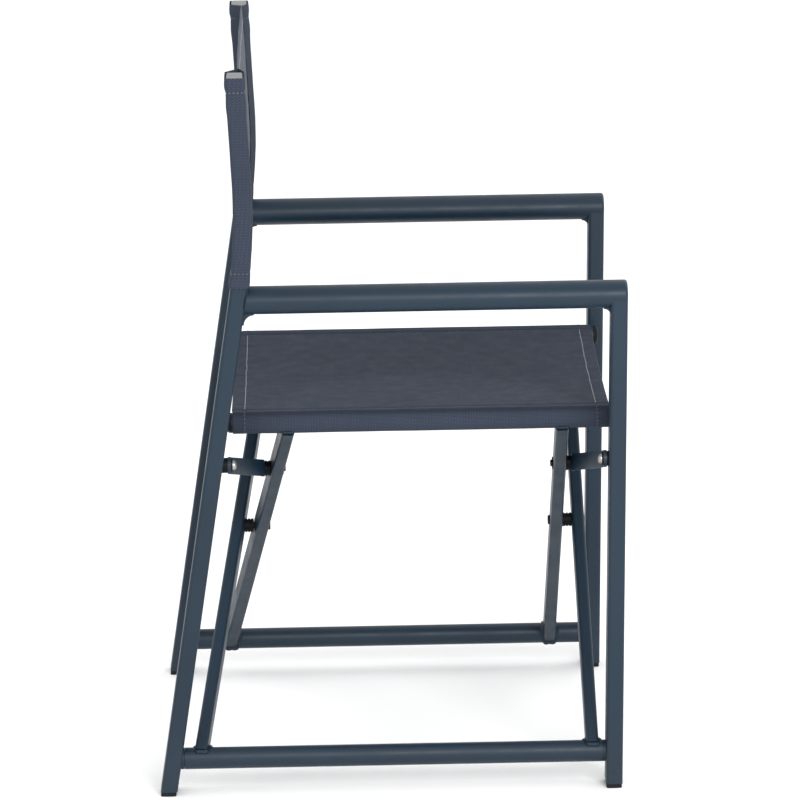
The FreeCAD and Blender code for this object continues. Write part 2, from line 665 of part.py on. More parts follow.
def back_sling():
    """Back cloth: a sleeve around each upper post and a panel between their middles."""
    around = 2 * (FABRIC_GAP + FABRIC)
    room = 2 * FABRIC_GAP
    cloth = back_post_prism(0, 2 * FRAME_X - POST_WIDTH, 2 * FABRIC, 0, BACK_LOW_Z, BACK_HIGH_Z)
    for sign in (-1, 1):
        x = sign * FRAME_X
        cloth = cloth.fuse(back_post_prism(x, POST_WIDTH + around, POST_DEPTH + around, POST_EDGE + 1,
                                           BACK_LOW_Z, BACK_HIGH_Z))
    for sign in (-1, 1):
        x = sign * FRAME_X
        cloth = cloth.cut(back_post_prism(x, POST_WIDTH + room, POST_DEPTH + room, POST_EDGE,
                                          BACK_LOW_Z - 1, BACK_HIGH_Z + 1))
    return cloth.removeSplitter()


# ---------------------------------------------------------------- assembly

def side_frame(side):
    """Nodes of one side frame, without the bottom rail, which turns in it."""
    x = SIDES[side] * FRAME_X
    links = [Link(side, end) for end in ("back", "front")]
    return {
        side + "_back_post": back_post(x),
        side + "_front_post": front_post(x),
        side + "_armrest": armrest(x),
        side + "_front_foot": foot(front_post_prism, x),
        side + "_back_foot": foot(back_post_prism, x),
        side + "_post_cap": post_cap(x),
        side + "_rail_pins": group([collared_pin(x, end) for end in ("front", "back")]),
        side + "_link_washers": group([disc for link in links
                                       for disc in (link.washer_disc(), link.head_washer())]),
        side + "_link_bolts": group([link.bolt() for link in links]),
    }


def cross_frame(name, rail_side, rear_bar, front_bar):
    """Nodes of one cross frame: its bottom rail is on rail_side, its seat rail on the other."""
    other = "left" if rail_side == "right" else "right"
    rail_x = SIDES[rail_side] * FRAME_X
    seat_x = SIDES[other] * (FRAME_X - SEAT_RAIL_IN)
    links = [Link(other, end) for end in ("back", "front")]
    plugs = [seat_rail_plug(seat_x, SEAT_RAIL_FRONT_Y, -1), seat_rail_plug(seat_x, SEAT_RAIL_BACK_Y, 1)]
    return {
        rail_side + "_bottom_rail": bottom_rail(rail_x),
        rail_side + "_rail_bushes": group([rail_bush(rail_x, end) for end in ("front", "back")]),
        "rear_bar_" + name: cross_bar(rear_bar),
        "front_bar_" + name: cross_bar(front_bar),
        other + "_seat_rail": seat_rail(seat_x),
        other + "_seat_rail_plugs": group(plugs),
        other + "_link_spacers": group([link.spacer() for link in links]),
        other + "_link_studs": group([link.stud() for link in links]),
        other + "_nut_washers": group([link.nut_washer() for link in links]),
        other + "_link_nuts": group([link.nut() for link in links]),
    }


def centre_pivots():
    rear = centre_pivot(REAR_A, REAR_B, 1)
    front = centre_pivot(FRONT_A, FRONT_B, -1)
    names = ("pivot_spacers", "pivot_bolts", "pivot_nuts")
    return {name: group(pair) for name, pair in zip(names, zip(rear, front))}


def links():
    nodes = {}
    for side in SIDES:
        for end, word in (("back", "rear"), ("front", "front")):
            link = Link(side, end)
            nodes[side + "_" + word + "_link"] = link.strap()
            nodes[side + "_" + word + "_link_screw"] = link.screw()
    return nodes


def group(solids):
    """Separate solids that share one node."""
    return Part.makeCompound(list(solids))


def main():
    nodes = {}
    for side in SIDES:
        nodes.update(side_frame(side))
    nodes.update(cross_frame("a", "right", REAR_A, FRONT_A))
    nodes.update(cross_frame("b", "left", REAR_B, FRONT_B))
    nodes.update(centre_pivots())
    nodes.update(links())
    nodes["seat_sling"] = seat_sling()
    nodes["back_sling"] = back_sling()
    os.makedirs("parts", exist_ok=True)
    for name, shape in nodes.items():
        shape.exportStep("parts/" + name + ".step")


main()
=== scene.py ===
import json
import math

import bmesh
import bpy
from mathutils import Matrix, Vector, noise
from mathutils.bvhtree import BVHTree


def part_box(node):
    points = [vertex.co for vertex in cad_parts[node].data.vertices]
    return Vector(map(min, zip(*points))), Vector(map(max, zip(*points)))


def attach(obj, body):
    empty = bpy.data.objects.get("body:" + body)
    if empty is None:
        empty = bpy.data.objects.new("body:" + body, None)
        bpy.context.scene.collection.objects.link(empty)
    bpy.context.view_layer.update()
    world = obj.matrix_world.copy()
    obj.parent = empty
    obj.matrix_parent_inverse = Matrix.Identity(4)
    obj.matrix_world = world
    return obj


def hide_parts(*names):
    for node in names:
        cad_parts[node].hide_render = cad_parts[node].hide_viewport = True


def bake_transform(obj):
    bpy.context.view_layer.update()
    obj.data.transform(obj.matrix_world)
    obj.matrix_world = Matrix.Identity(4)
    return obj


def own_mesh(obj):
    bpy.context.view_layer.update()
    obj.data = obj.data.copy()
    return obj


# Folding director chair: looks built round the CAD frame. Metres, +Z up, the sitter faces -Y.

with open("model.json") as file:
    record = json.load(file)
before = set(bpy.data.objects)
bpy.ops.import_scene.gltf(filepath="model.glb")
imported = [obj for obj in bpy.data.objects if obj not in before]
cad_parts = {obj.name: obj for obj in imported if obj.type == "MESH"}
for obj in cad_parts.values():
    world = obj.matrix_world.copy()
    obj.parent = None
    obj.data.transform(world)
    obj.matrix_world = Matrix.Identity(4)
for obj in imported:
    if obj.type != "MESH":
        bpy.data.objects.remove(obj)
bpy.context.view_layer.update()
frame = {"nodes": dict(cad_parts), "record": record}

MM = 0.001

# ---- cloth
CLOTH = 0.9 * MM            # thickness of one layer
CLOTH_OFF = 0.4 * MM        # gap between a tube and the cloth round it
LAYER = 1.15 * MM           # distance between the middles of two layers sewn together
UNDER_HEM = (1.0, 0.84, 0.65, 0.44, 0.24, 0.12, 0.04)      # rows in a hem, as shares of its width
# rows of the cloth over a hem and just past it
OVER_HEM = (0.04, 0.12, 0.24, 0.44, 0.65, 0.8, 0.92, 1.0, 1.08, 1.2)
OPEN_FROM = 1.5             # hem widths from an edge to the evenly spaced rows

# ---- seat
SEAT_SAG = 7 * MM
SEAT_SEAM_IN = 16 * MM      # seam that closes the seat sleeve, inboard of the rail's axis
SEAT_HEM = 15 * MM
SEAM_DIP = 2.0 * MM         # the seat is pulled down along the sleeve's seam
SEAM_DIP_WIDE = 2.6 * MM
SLOT_ROOM = 2 * MM          # gap between a bar and the edge of its slot in the sleeve
SLOT_TURN = (-12, 92)       # degrees round the rail that a slot covers, down from its inner side
TOP_TURN = 450              # degrees round the rail at its top, counted by way of its outer side
BAND_TURN = (288, TOP_TURN)         # degrees of the stitches round it, from underneath to the top
SEAM_TO_RAIL = (0.0, 0.12, 0.3, 0.5, 0.75)      # columns of the sleeve before it meets the rail
RAIL_SHADE_WIDE = 7 * MM          # half width of the painted shade line along the upper outer side of the right seat rail
SHADE_FROM_TOP = 4.5 * MM         # and its distance from the rail's top, on the outer side
CREASE_LONG = 55 * MM       # crease left by folding, at the middle of the front and the back edge
CREASE_DEEP = 1.0 * MM
CREASE_WIDE = 2.5 * MM
CREASE_LINE_WIDE = 1.2 * MM      # half width of its lighter line
SAG_SHADE_ACROSS = 0.24           # half sizes of the oval outside which painted shade of the soft folds darkens the seat; its middle is at the right seat rail
SAG_SHADE_ALONG = 0.20
FLAT_EDGE = 40 * MM         # the soft folds die out this close to the hemmed edges

# ---- fineness of the cloth meshes
SEAT_COLUMNS = 215
SEAT_ROWS = 95
RAIL_COLUMNS = 30
PANEL_COLUMNS = 160
PANEL_ROWS = 50
CORNER_POINTS = 6
SIDE_POINTS = 10
LINE_POINTS = 240           # points along a line of stitches
BAND_POINTS = 24            # and along one round a seat rail
SLEEVE_ROWS = (30, 40, 20)  # rows of a back sleeve near its top, between, and near its bottom
CLOSE_TOP = 2.5             # hem widths that have close rows at the top of a back sleeve
CLOSE_LOW = 1.5             # and at its bottom
ROW_GAP = 0.1               # hem widths between two of these groups of rows

# ---- ripples: height, ripples per metre from side to side and the other way, and a seed
SEAT_FOLDS = (1.1 * MM, 13, 8, 3)
SEAT_HEM_PUCKERS = (0.8 * MM, 70, 22, 7)
SEAT_SEAM_PUCKERS = (0.35 * MM, 30, 75, 9)
CREASE_WANDER = (4 * MM, 30, 1, 2)
PANEL_FOLDS = (0.6 * MM, 12, 9, 5)
PANEL_HEM_PUCKERS = (0.4 * MM, 80, 20, 1)
PANEL_SEAM_PUCKERS = (0.4 * MM, 20, 80, 4)
PUCKERED = 9 * MM           # puckers reach this far from a line of stitches
HEM_WANDER = (0.9 * MM, 35, 1, 0)   # how the seat's hem stitches leave a straight line
SEAT_SLEEVE_RIPPLE = (0.25 * MM, 60, 25)        # height, ripples per metre round the rail and along it
BACK_SLEEVE_RIPPLE = (0.3 * MM, 55, 0.3)        # height, ripples per metre up, and per point round the post
STITCH_DIP = 0.5 * MM       # cloth pulled in by a line of stitches
STITCH_DIP_WIDE = 1.8 * MM

# ---- back
BACK_CLOTH = 0.7 * MM       # thickness of one layer
BACK_HEM = 17 * MM
BACK_SEAM_IN = 16 * MM      # seam beside the inner side of each back post
SEAM_FORWARD = 4.5 * MM     # the seam and the panel stand this far in front of the post's middle
SLEEVE_GAP = 0.6 * MM       # between the post and the middle of the cloth
RIM_OUTER = 3.0 * MM        # the sleeve's rim above the post's top, on the outer side
RIM_INNER = 5.0 * MM        # and at the seam
CORNER = 4.2 * MM           # radius of the sleeve at a corner of the post
PANEL_SAG = 1.0 * MM
TIGHTEST = 0.1 * MM         # least gap between the post and the sleeve
TWIN_ROWS = 1 * MM          # each row of a pair of rows of stitches is this far from their middle
# swells of a sleeve, or narrow places if less than 0: size, distance from its end, half length
TOP_SWELLS = ((1.1 * MM, 9 * MM, 9 * MM), (0.8 * MM, 34 * MM, 9 * MM), (-0.7 * MM, BACK_HEM, 2.5 * MM))
LOW_SWELLS = ((1.3 * MM, 0, 16 * MM), (0.5 * MM, 60 * MM, 45 * MM), (-0.9 * MM, BACK_HEM, 3 * MM))
BESIDE_SEAM = 4             # a sleeve's stitches stop this many points short of its seam

# ---- stitches
STITCH = 3.4 * MM           # length
STITCH_GAP = 1.3 * MM
HEM_ENDS = 2 * MM           # the seat's hem stitches stop this far short of its seams
SEAM_ENDS = 1 * MM          # and its seams' stitches this far short of its edges
THREAD = 0.6 * MM           # radius
STITCH_SIDES = 6
STITCH_FLAT = 0.7           # height of a stitch's section as a share of its width
STITCH_PROFILE = ((0.4, -0.5), (1.0, 0.35), (1.0, 0.35), (0.4, -0.5))   # size and lift of its rings

# ---- bars and welds
BAR_WIDE = 28 * MM
BAR_DEEP = 15 * MM
BAR_EDGE = 3 * MM
BAR_END = 40 * MM           # a bar's end is looked for within this height
LOW_BEAD = 2.8 * MM         # reach of the weld bead round the lower end of a bar
HIGH_BEAD = 1.9 * MM
FLARE = 0.9                 # how much further a bead reaches on its front and back side
BEAD_HOLLOW = 0.9           # 2 makes a bead's section round, 1 a flat chamfer, less hollows it
BEAD_UNEVEN = 0.10          # regular change of a bead's size along it
BEAD_UNEVEN_TURN = 1.9      # radians of that change per point
BEAD_LUMPS = 0.3
LUMPS_OFTEN = (0.9, 0.8)    # lumps per point along a bead and round it
LUMPS_BY_SIZE = 900         # makes beads of different sizes differ in their lumps
BEAD_SIDES = 16
BEAD_STEP = 2.5 * MM
ARM_BEAD = 1.6 * MM
ARM_HIGH = 33 * MM          # height of an armrest's oval
ARM_POINTS = 60             # points along the bead round an armrest's end
EDGE_POINTS = 5             # points round each edge of a bar

SIDES = {"right": -1, "left": 1}
UP = Vector((0, 0, 1))
ALONG_RAIL = Vector((0, 1, 0))


# ---------------------------------------------------------------- places taken from the CAD

def middle(node):
    low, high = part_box(node)
    return (low + high) / 2


def surface_of(node):
    """Search tree of a CAD node's surface."""
    mesh = frame["nodes"][node].data
    points = [v.co for v in mesh.vertices]
    return BVHTree.FromPolygons(points, [tuple(p.vertices) for p in mesh.polygons])


def hit(tree, start, way):
    """Where a ray meets a surface."""
    return tree.ray_cast(Vector(start), Vector(way))[0]


def end_y(node, at_top):
    """Middle Y of a bar's end."""
    low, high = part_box(node)
    limit = high.z - BAR_END if at_top else low.z + BAR_END
    ys = [v.co.y for v in frame["nodes"][node].data.vertices if (v.co.z > limit) == at_top]
    return (min(ys) + max(ys)) / 2


# ---------------------------------------------------------------- meshes

def new_object(name, points, faces, uvs=None):
    mesh = bpy.data.meshes.new(name)
    mesh.from_pydata([tuple(p) for p in points], [], faces)
    if uvs is not None:
        layer = mesh.uv_layers.new(name="cloth")
        for loop in mesh.loops:
            layer.data[loop.index].uv = uvs[loop.vertex_index]
    mesh.polygons.foreach_set("use_smooth", [True] * len(mesh.polygons))
    mesh.update()
    obj = bpy.data.objects.new(name, mesh)
    bpy.context.collection.objects.link(obj)
    return obj


def row_lengths(points):
    """Running length along a line of points."""
    total = [0.0]
    for a, b in zip(points, points[1:]):
        total.append(total[-1] + (Vector(b) - Vector(a)).length)
    return total


def cloth_grid(name, rows, skip=lambda row, column: False):
    """One layer of cloth through rows of points, with its flat size as texture coordinates."""
    wide = row_lengths(rows[len(rows) // 2])
    long = row_lengths([row[len(row) // 2] for row in rows])
    columns = len(rows[0])
    points = [point for row in rows for point in row]
    uvs = [(wide[c], long[r]) for r in range(len(rows)) for c in range(columns)]
    faces = []
    for r in range(len(rows) - 1):
        for c in range(columns - 1):
            if not skip(r, c):
                a = r * columns + c
                faces.append((a, a + 1, a + columns + 1, a + columns))
    return new_object(name, points, faces, uvs)


def thicken(obj, thickness):
    """Turn one layer into a closed sheet with the same middle."""
    solid = obj.modifiers.new("thickness", "SOLIDIFY")
    solid.thickness = thickness
    solid.offset = 0
    bpy.context.view_layer.update()
    evaluated = obj.evaluated_get(bpy.context.evaluated_depsgraph_get())
    mesh = bpy.data.meshes.new_from_object(evaluated)
    obj.modifiers.clear()
    obj.data = mesh
    drop_loose_points(mesh)
    return obj


def drop_loose_points(mesh):
    """Remove points that no face uses."""
    work = bmesh.new()
    work.from_mesh(mesh)
    bmesh.ops.delete(work, geom=[v for v in work.verts if not v.link_faces], context="VERTS")
    work.to_mesh(mesh)
    work.free()


def spread(low, high, count):
    """Evenly spaced values, ends included."""
    return [low + (high - low) * i / (count - 1) for i in range(count)]


def bell(distance, width):
    """Smooth bump: 1 at no distance, near 0 beyond twice the width."""
    return math.exp(-((distance / width) ** 2))


def waver(x, y, z=0.0):
    """Smooth random value between -1 and 1."""
    return noise.noise(Vector((x, y, z)))


def ripple(kind, across, along_cloth):
    """Height of one kind of ripple, given as (height, ripples per metre both ways, seed)."""
    height, often_across, often_along, seed = kind
    return height * waver(across * often_across, along_cloth * often_along, seed)


def hemmed_rows(low, high, hem, count):
    """Place and fold of the rows of a cloth with a hem at both edges, from the low edge to the high.

    The fold is 1 under a hem, a half at the edge and 0 on the open cloth.
    """
    edge = [(hem * share, 1.0) for share in UNDER_HEM] + [(0.0, 0.5)]
    edge += [(hem * share, 0.0) for share in OVER_HEM]
    open_from = hem * OPEN_FROM
    rows = [(low + place, fold) for place, fold in edge]
    rows += [(place, 0.0) for place in spread(low + open_from, high - open_from, count)]
    return rows + [(high - place, fold) for place, fold in reversed(edge)]


# ---------------------------------------------------------------- seat cloth

rail_low, rail_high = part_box("left_seat_rail")
RAIL_X = middle("left_seat_rail").x
RAIL_Z = middle("left_seat_rail").z
RAIL_R = (rail_high.z - rail_low.z) / 2
SEAT_R = RAIL_R + CLOTH_OFF + CLOTH / 2
SEAT_SEAM_X = RAIL_X - SEAT_SEAM_IN
sling_low, sling_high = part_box("seat_sling")
SEAT_FRONT, SEAT_BACK = sling_low.y, sling_high.y


def seat_height(x, y):
    """Height of the middle of the seat cloth between the two seams."""
    height = RAIL_Z + SEAT_R - SEAT_SAG * (1 - (x / RAIL_X) ** 2)
    height -= SEAM_DIP * bell(abs(x) - SEAT_SEAM_X, SEAM_DIP_WIDE)
    edge = min(y - SEAT_FRONT, SEAT_BACK - y)
    height += ripple(SEAT_FOLDS, x, y) * min(1.0, edge / FLAT_EDGE)
    height += ripple(SEAT_HEM_PUCKERS, x, y) * bell(edge - SEAT_HEM, PUCKERED)
    height += ripple(SEAT_SEAM_PUCKERS, x, y) * bell(SEAT_SEAM_X - abs(x), PUCKERED)
    height -= STITCH_DIP * bell(edge - SEAT_HEM, STITCH_DIP_WIDE)
    crease = max(0.0, 1 - edge / CREASE_LONG)
    height -= CREASE_DEEP * crease * bell(x - ripple(CREASE_WANDER, y, 0), CREASE_WIDE)
    return height


def seat_sleeve_angles():
    """Angles round a seat rail covered by the sleeve, from the seam's underside to the top."""
    reach = math.hypot(SEAT_SEAM_IN, SEAT_R)
    tangent = math.pi - math.atan2(SEAT_R, SEAT_SEAM_IN) + math.acos(SEAT_R / reach)
    return spread(tangent, math.radians(TOP_TURN), RAIL_COLUMNS)


def seat_columns(side):
    """Outline of one sleeve as (x, z) from the seam's underside to the top of the rail."""
    seam = (side * SEAT_SEAM_X, RAIL_Z + SEAT_R - LAYER - SEAM_DIP)
    ring = [(side * (RAIL_X + SEAT_R * math.cos(a)), RAIL_Z + SEAT_R * math.sin(a))
            for a in seat_sleeve_angles()]
    start = ring[0]
    line = [(seam[0] + (start[0] - seam[0]) * t, seam[1] + (start[1] - seam[1]) * t)
            for t in SEAM_TO_RAIL]
    return line + ring


def seat_sleeve_point(x, y, z):
    """Point of a seat sleeve, a little uneven."""
    height, often_round, often_along = SEAT_SLEEVE_RIPPLE
    return Vector((x, y, z + height * waver(x * often_round, y * often_along, z * often_round)))


def seat_row(y, drop=0.0):
    """One row of the seat cloth, from the right seam round the sleeves to the left seam."""
    row = [seat_sleeve_point(x, y, z) for x, z in seat_columns(-1)]
    for x in spread(-RAIL_X, RAIL_X, SEAT_COLUMNS)[1:-1]:
        row.append(Vector((x, y, seat_height(x, y) - drop)))
    return row + [seat_sleeve_point(x, y, z) for x, z in reversed(seat_columns(1))]


def top_of_rail():
    """Distance across the cloth from its right edge to the top of the right rail."""
    lengths = row_lengths(seat_row((SEAT_FRONT + SEAT_BACK) / 2))
    return lengths[len(seat_columns(1)) - 1]


def bar_slots():
    """For each side, the Y spans where a bar enters the sleeve."""
    half = BAR_DEEP / 2 + SLOT_ROOM
    spans = {}
    for side, letter in (("left", "a"), ("right", "b")):
        ends = [end_y(word + "_bar_" + letter, at_top=True) for word in ("rear", "front")]
        spans[SIDES[side]] = [(end - half, end + half) for end in ends]
    return spans


def in_slot(point, slots):
    """Whether a point of the seat cloth lies in a bar's slot, low on the inner side of the sleeve."""
    side = math.copysign(1, point.x)
    inward, up = RAIL_X - abs(point.x), point.z - RAIL_Z
    angle = math.degrees(math.atan2(-up, inward))
    in_turn = SLOT_TURN[0] < angle < SLOT_TURN[1]
    return in_turn and any(low < point.y < high for low, high in slots[side])


def build_seat():
    lines = hemmed_rows(SEAT_FRONT, SEAT_BACK, SEAT_HEM, SEAT_ROWS)
    rows = [seat_row(y, fold * LAYER) for y, fold in lines]
    slots = bar_slots()
    columns, sleeve = len(rows[0]), len(seat_columns(1))

    def skip(r, c):
        place = (rows[r][c] + rows[r + 1][c + 1]) / 2
        in_sleeve = c < sleeve or c >= columns - sleeve - 1
        in_hem = lines[r][1] > 0 or lines[r + 1][1] > 0
        if in_hem:
            return in_sleeve or abs(place.x) > SEAT_SEAM_X
        return in_sleeve and in_slot(place, slots)

    return thicken(cloth_grid("seat_cloth", rows, skip), CLOTH)


def seat_line(y, x_low, x_high):
    """Points along the seat from side to side, on top of the cloth."""
    line = []
    for x in spread(x_low, x_high, LINE_POINTS):
        place = y + ripple(HEM_WANDER, x, 1.0)
        line.append(Vector((x, place, seat_height(x, place) + CLOTH / 2)))
    return line


def seat_sleeve_line(side, y):
    """Line round the outer side of a seat sleeve, from underneath to the top."""
    path, outs = [], []
    for turn in spread(*BAND_TURN, BAND_POINTS):
        angle = math.radians(turn)
        out = Vector((side * math.cos(angle), 0, math.sin(angle)))
        path.append(Vector((side * RAIL_X, y, RAIL_Z)) + out * (SEAT_R + CLOTH / 2))
        outs.append(out)
    return path, outs


def seat_seam(x):
    """Points along the seat from front to back, on top of the cloth."""
    return [Vector((x, y, seat_height(x, y) + CLOTH / 2))
            for y in spread(SEAT_FRONT + SEAM_ENDS, SEAT_BACK - SEAM_ENDS, LINE_POINTS)]


# ---------------------------------------------------------------- stitches

def along(points, distance, lengths):
    """Point at a distance along a line of points, and the number of the piece of line it lies on."""
    for i in range(len(points) - 1):
        if lengths[i + 1] >= distance:
            share = (distance - lengths[i]) / (lengths[i + 1] - lengths[i])
            return points[i].lerp(points[i + 1], share), i
    return points[-1], len(points) - 2


def stitch_rings(path, outs, lengths, distance):
    """Rings of points round one raised stitch, thin and sunk at its ends."""
    points = []
    for step, (size, lift) in enumerate(STITCH_PROFILE):
        place, i = along(path, distance + STITCH * step / (len(STITCH_PROFILE) - 1), lengths)
        way, out = (path[i + 1] - path[i]).normalized(), outs[i]
        across = way.cross(out).normalized()
        for k in range(STITCH_SIDES):
            turn = 2 * math.pi * k / STITCH_SIDES
            offset = across * math.cos(turn) + out * (math.sin(turn) * STITCH_FLAT)
            points.append(place + out * THREAD * lift + offset * THREAD * size)
    return points


def stitch_rows(name, lines):
    """Rows of raised stitches. Each line is (points on the cloth, the way out of the cloth at each)."""
    points, faces = [], []
    for path, outs in lines:
        lengths = row_lengths(path)
        distance = STITCH
        while distance + STITCH < lengths[-1]:
            first = len(points)
            points += stitch_rings(path, outs, lengths, distance)
            for step in range(len(STITCH_PROFILE) - 1):
                for k in range(STITCH_SIDES):
                    a = first + step * STITCH_SIDES + k
                    b = first + step * STITCH_SIDES + (k + 1) % STITCH_SIDES
                    faces.append((a, b, b + STITCH_SIDES, a + STITCH_SIDES))
            faces.append(tuple(range(first + STITCH_SIDES - 1, first - 1, -1)))
            faces.append(tuple(range(len(points) - STITCH_SIDES, len(points))))
            distance += STITCH + STITCH_GAP
    return new_object(name, points, faces)


def flat_line(path, out):
    """A line on flat cloth, with the same way out everywhere."""
    return path, [Vector(out)] * len(path)


# ---------------------------------------------------------------- back cloth

post_tree = surface_of("right_back_post")
post_low, post_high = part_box("right_back_post")
POST_X = abs(middle("right_back_post").x)
POST_HALF = (post_high.x - post_low.x) / 2
POST_TOP = post_high.z
POST_TRUE_TOP = POST_TOP - 1 * MM           # highest place where rays are sure to meet a post's faces
OUTSIDE = 0.1               # rays start this far outside a post
TOP_SLOPE = 30 * MM         # a post's lean at its top is taken over this height
BACK_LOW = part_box("back_sling")[0].z
BACK_TOP = POST_TOP + RIM_INNER
BACK_SEAM_X = POST_HALF + BACK_SEAM_IN      # the back's seam, inboard of the post's middle
PANEL_X = POST_X - BACK_SEAM_X


def post_faces(z):
    """Y of the front face and of the back face of a back post at a height."""
    z = min(z, POST_TRUE_TOP)
    front = hit(post_tree, (-POST_X, post_low.y - OUTSIDE, z), (0, 1, 0)).y
    back = hit(post_tree, (-POST_X, post_high.y + OUTSIDE, z), (0, -1, 0)).y
    return front, back


def post_middle(z):
    """Y of a back post's middle, carried on straight above its top."""
    top = POST_TRUE_TOP
    if z <= top:
        return sum(post_faces(z)) / 2
    lower = top - TOP_SLOPE
    slope = (sum(post_faces(top)) - sum(post_faces(lower))) / 2 / (top - lower)
    return sum(post_faces(top)) / 2 + slope * (z - top)


POST_DEEP = (post_faces(POST_TOP)[1] - post_faces(POST_TOP)[0]) / 2      # from a post's middle to a face


def sleeve_outline(gap):
    """Outline of a back sleeve seen from above, about the post's middle. Inboard is +X."""
    x, y = POST_HALF + gap - CORNER, POST_DEEP + gap - CORNER
    front_seam = (BACK_SEAM_X, -SEAM_FORWARD - LAYER / 2)
    back_seam = (BACK_SEAM_X, -SEAM_FORWARD + LAYER / 2)
    front_turn = touching(front_seam, (x, -y), -1)
    back_turn = touching(back_seam, (x, y), 1)
    corners = [((x, -y), front_turn, -90), ((-x, -y), -90, -180),
               ((-x, y), 180, 90), ((x, y), 90, back_turn)]
    outline = [front_seam]
    for (centre_x, centre_y), start, end in corners:
        arc = [(centre_x + CORNER * math.cos(math.radians(turn)),
                centre_y + CORNER * math.sin(math.radians(turn)))
               for turn in spread(start, end, CORNER_POINTS)]
        outline += between(outline[-1], arc[0], SIDE_POINTS) + arc
    return outline + between(outline[-1], back_seam, SIDE_POINTS) + [back_seam]


def sleeve_length():
    """Length of cloth round a post, from seam to seam."""
    outline = sleeve_outline(SLEEVE_GAP)
    return row_lengths([(x, y, 0) for x, y in outline])[-1]


def touching(point, centre, way):
    """Angle at which a line from a point touches the round corner about a centre."""
    x, y = point[0] - centre[0], point[1] - centre[1]
    return math.degrees(math.atan2(y, x) + way * math.acos(CORNER / math.hypot(x, y)))


def between(a, b, count):
    """Evenly spaced points between two, without the ends."""
    return [(a[0] + (b[0] - a[0]) * i / count, a[1] + (b[1] - a[1]) * i / count) for i in range(1, count)]


def fill_in(points, step):
    """Add points so that no two neighbours are further apart than the step."""
    line = [points[0]]
    for a, b in zip(points, points[1:]):
        parts = max(1, round(math.dist(a, b) / step))
        for i in range(1, parts + 1):
            line.append((a[0] + (b[0] - a[0]) * i / parts, a[1] + (b[1] - a[1]) * i / parts))
    return line


def sleeve_gap(z):
    """Gap between post and sleeve: wider near both ends, and pulled in at the hems' stitches."""
    gap = SLEEVE_GAP
    gap += sum(size * bell(POST_TOP - z - place, long) for size, place, long in TOP_SWELLS)
    gap += sum(size * bell(z - BACK_LOW - place, long) for size, place, long in LOW_SWELLS)
    return max(gap, BACK_CLOTH / 2 + TIGHTEST)


def rim_height(across):
    """Height of the sleeve's top edge, which rises from the outer side to the seam."""
    share = (across + POST_HALF) / (POST_HALF + BACK_SEAM_X)
    return POST_TOP + RIM_OUTER + (RIM_INNER - RIM_OUTER) * share


def sleeve_point(side, share, number):
    """Point of a sleeve: share is 0 at the bottom and 1 at the rim, number counts round the post."""
    flat = BACK_LOW + (POST_TOP - BACK_LOW) * share
    height, often_up, often_round = BACK_SLEEVE_RIPPLE
    slack = height * (1 + waver(flat * often_up, number * often_round, side)) / 2
    across, depth = sleeve_outline(sleeve_gap(flat) + slack)[number]
    z = BACK_LOW + (rim_height(across) - BACK_LOW) * share
    return Vector((side * (POST_X - across), post_middle(z) + depth, z))


def build_sleeve(side_name):
    """Sleeve with rows that are closer in its upper hem and its lower hem."""
    hem = BACK_HEM / (BACK_TOP - BACK_LOW)
    top_rows, open_rows, low_rows = SLEEVE_ROWS
    shares = spread(1.0, 1 - CLOSE_TOP * hem, top_rows)
    shares += spread(1 - (CLOSE_TOP + ROW_GAP) * hem, (CLOSE_LOW + ROW_GAP) * hem, open_rows)
    shares += spread(CLOSE_LOW * hem, 0, low_rows)
    count = len(sleeve_outline(SLEEVE_GAP))
    rows = [[sleeve_point(SIDES[side_name], share, i) for i in range(count)] for share in shares]
    return thicken(cloth_grid(side_name + "_back_sleeve", rows), BACK_CLOTH)


def sleeve_line(side_name, from_rim):
    """Line round a back sleeve at a distance below its rim, with the way out at each point."""
    share = 1 - from_rim / (POST_TOP - BACK_LOW)
    count = len(sleeve_outline(SLEEVE_GAP))
    numbers = range(BESIDE_SEAM, count - BESIDE_SEAM)
    line = [sleeve_point(SIDES[side_name], share, number) for number in numbers]
    path, outs = [], []
    for before, place, after in zip(line, line[1:], line[2:]):
        out = (after - before).cross(UP * SIDES[side_name]).normalized()
        path.append(place + out * BACK_CLOTH / 2)
        outs.append(out)
    return path, outs


def panel_point(x, z, back=0.0):
    """Point of the back panel's middle, moved back by a part of a layer."""
    edge = min(BACK_TOP - z, z - BACK_LOW)
    side = PANEL_X - abs(x)
    y = post_middle(z) - SEAM_FORWARD + PANEL_SAG * (1 - (x / PANEL_X) ** 2)
    y += ripple(PANEL_FOLDS, x, z)
    y += ripple(PANEL_HEM_PUCKERS, x, z) * bell(edge - BACK_HEM, PUCKERED)
    y += ripple(PANEL_SEAM_PUCKERS, x, z) * bell(side, PUCKERED)
    y += STITCH_DIP * bell(edge - BACK_HEM, STITCH_DIP_WIDE)
    return Vector((x, y + back, z))


def build_panel():
    columns = spread(-PANEL_X, PANEL_X, PANEL_COLUMNS)
    rows = [[panel_point(x, z, fold * LAYER) for x in columns]
            for z, fold in hemmed_rows(BACK_LOW, BACK_TOP, BACK_HEM, PANEL_ROWS)]
    return thicken(cloth_grid("back_panel", rows), BACK_CLOTH)


def panel_line(z):
    """Points across the front of the back panel."""
    return [panel_point(x, z, -BACK_CLOTH / 2) for x in spread(-PANEL_X, PANEL_X, LINE_POINTS)]


# ---------------------------------------------------------------- welds

